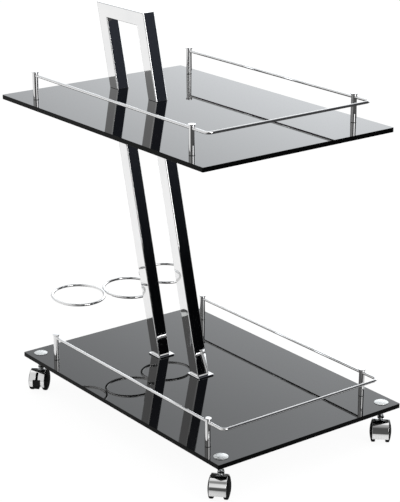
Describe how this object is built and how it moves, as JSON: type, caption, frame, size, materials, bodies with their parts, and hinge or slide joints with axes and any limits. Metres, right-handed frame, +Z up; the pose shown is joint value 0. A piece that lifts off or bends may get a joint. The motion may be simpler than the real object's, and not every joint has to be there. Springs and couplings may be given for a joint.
{
  "type": "kitchen trolley",
  "caption": "Two-tier serving trolley with black glass shelves, leaning chrome tube frame and handle, gallery rails, bottle rings and hooded swivel castors.",
  "frame": {"origin": "on the floor under the middle of the lower shelf", "axes": "+Z up, +X along the shelves away from the handle, +Y to the left of the person who pushes"},
  "size_m": [0.6543, 0.4138, 0.708],
  "materials": {
    "black_glass": "polished, opaque black tempered glass",
    "chrome": "bright chrome plating",
    "aluminium": "spun aluminium",
    "zinc_steel": "zinc plated",
    "castor_plastic": "moulded",
    "wheel_plastic": "moulded, semi-gloss",
    "rubber": "matte"
  },
  "bodies": {
    "trolley_frame": {"lower_glass_shelf": "black_glass", "upper_glass_shelf": "black_glass", "front_upright": "chrome", "rear_upright": "chrome", "handle_bow": "chrome", "front_base_plate": "chrome", "rear_base_plate": "chrome", "upper_rail_rod": "chrome", "lower_rail_rod": "chrome", "bottle_ring_left": "chrome", "bottle_ring_middle": "chrome", "bottle_ring_right": "chrome", "ring_bracket": "chrome", "upper_front_left_post": "chrome", "upper_front_right_post": "chrome", "upper_rear_left_post": "chrome", "upper_rear_right_post": "chrome", "upper_post_screws": "zinc_steel", "upper_post_washers": "rubber", "lower_front_left_post": "chrome", "lower_front_right_post": "chrome", "lower_rear_left_post": "chrome", "lower_rear_right_post": "chrome", "lower_post_screws": "zinc_steel", "lower_post_washers": "rubber", "upright_end_plugs": "zinc_steel", "handle_end_plugs": "zinc_steel", "foot_bolts": "zinc_steel", "foot_washers": "zinc_steel", "handle_studs": "zinc_steel", "ring_screws": "zinc_steel", "base_plate_pads": "rubber", "upper_glass_pads": "rubber", "castor_gaskets": "rubber", "fixing_discs": "aluminium", "castor_stems": "zinc_steel"},
    "front_left_castor": {"front_left_castor_body": "castor_plastic", "front_left_castor_hood": "chrome", "front_left_castor_axle": "zinc_steel"},
    "front_left_wheel_a": {"front_left_wheel_a": "wheel_plastic"},
    "front_left_wheel_b": {"front_left_wheel_b": "wheel_plastic"},
    "front_right_castor": {"front_right_castor_body": "castor_plastic", "front_right_castor_hood": "chrome", "front_right_castor_axle": "zinc_steel"},
    "front_right_wheel_a": {"front_right_wheel_a": "wheel_plastic"},
    "front_right_wheel_b": {"front_right_wheel_b": "wheel_plastic"},
    "rear_left_castor": {"rear_left_castor_body": "castor_plastic", "rear_left_castor_hood": "chrome", "rear_left_castor_axle": "zinc_steel"},
    "rear_left_wheel_a": {"rear_left_wheel_a": "wheel_plastic"},
    "rear_left_wheel_b": {"rear_left_wheel_b": "wheel_plastic"},
    "rear_left_brake_pedal": {"rear_left_brake_pedal": "castor_plastic"},
    "rear_right_castor": {"rear_right_castor_body": "castor_plastic", "rear_right_castor_hood": "chrome", "rear_right_castor_axle": "zinc_steel"},
    "rear_right_wheel_a": {"rear_right_wheel_a": "wheel_plastic"},
    "rear_right_wheel_b": {"rear_right_wheel_b": "wheel_plastic"},
    "rear_right_brake_pedal": {"rear_right_brake_pedal": "castor_plastic"}
  },
  "joints": [
    {"name": "front_left_swivel", "type": "hinge", "parent": "trolley_frame", "child": "front_left_castor", "pos_m": [0.2765, 0.177, 0.038], "axis": [0, 0, 1], "continuous": true},
    {"name": "front_left_wheel_a_spin", "type": "hinge", "parent": "front_left_castor", "child": "front_left_wheel_a", "pos_m": [0.28756, 0.16687, 0.02], "axis": [0.6756, 0.7373, 0], "continuous": true},
    {"name": "front_left_wheel_b_spin", "type": "hinge", "parent": "front_left_castor", "child": "front_left_wheel_b", "pos_m": [0.28756, 0.16687, 0.02], "axis": [0.6756, 0.7373, 0], "continuous": true},
    {"name": "front_right_swivel", "type": "hinge", "parent": "trolley_frame", "child": "front_right_castor", "pos_m": [0.2765, -0.177, 0.038], "axis": [0, 0, 1], "continuous": true},
    {"name": "front_right_wheel_a_spin", "type": "hinge", "parent": "front_right_castor", "child": "front_right_wheel_a", "pos_m": [0.28673, -0.18797, 0.02], "axis": [0.7314, 0.682, 0], "continuous": true},
    {"name": "front_right_wheel_b_spin", "type": "hinge", "parent": "front_right_castor", "child": "front_right_wheel_b", "pos_m": [0.28673, -0.18797, 0.02], "axis": [0.7314, 0.682, 0], "continuous": true},
    {"name": "rear_left_swivel", "type": "hinge", "parent": "trolley_frame", "child": "rear_left_castor", "pos_m": [-0.2765, 0.177, 0.038], "axis": [0, 0, 1], "continuous": true},
    {"name": "rear_left_wheel_a_spin", "type": "hinge", "parent": "rear_left_castor", "child": "rear_left_wheel_a", "pos_m": [-0.26571, 0.16658, 0.02], "axis": [0.6947, 0.7193, 0], "continuous": true},
    {"name": "rear_left_wheel_b_spin", "type": "hinge", "parent": "rear_left_castor", "child": "rear_left_wheel_b", "pos_m": [-0.26571, 0.16658, 0.02], "axis": [0.6947, 0.7193, 0], "continuous": true},
    {"name": "rear_left_brake_pedal_lift", "type": "hinge", "parent": "rear_left_castor", "child": "rear_left_brake_pedal", "pos_m": [-0.26571, 0.16658, 0.02], "axis": [-0.6947, -0.7193, 0], "range_deg": [0, 45]},
    {"name": "rear_right_swivel", "type": "hinge", "parent": "trolley_frame", "child": "rear_right_castor", "pos_m": [-0.2765, -0.177, 0.038], "axis": [0, 0, 1], "continuous": true},
    {"name": "rear_right_wheel_a_spin", "type": "hinge", "parent": "rear_right_castor", "child": "rear_right_wheel_a", "pos_m": [-0.26635, -0.18804, 0.02], "axis": [0.7361, 0.6769, 0], "continuous": true},
    {"name": "rear_right_wheel_b_spin", "type": "hinge", "parent": "rear_right_castor", "child": "rear_right_wheel_b", "pos_m": [-0.26635, -0.18804, 0.02], "axis": [0.7361, 0.6769, 0], "continuous": true},
    {"name": "rear_right_brake_pedal_lift", "type": "hinge", "parent": "rear_right_castor", "child": "rear_right_brake_pedal", "pos_m": [-0.26635, -0.18804, 0.02], "axis": [-0.7361, -0.6769, 0], "range_deg": [0, 45]}
  ]
}
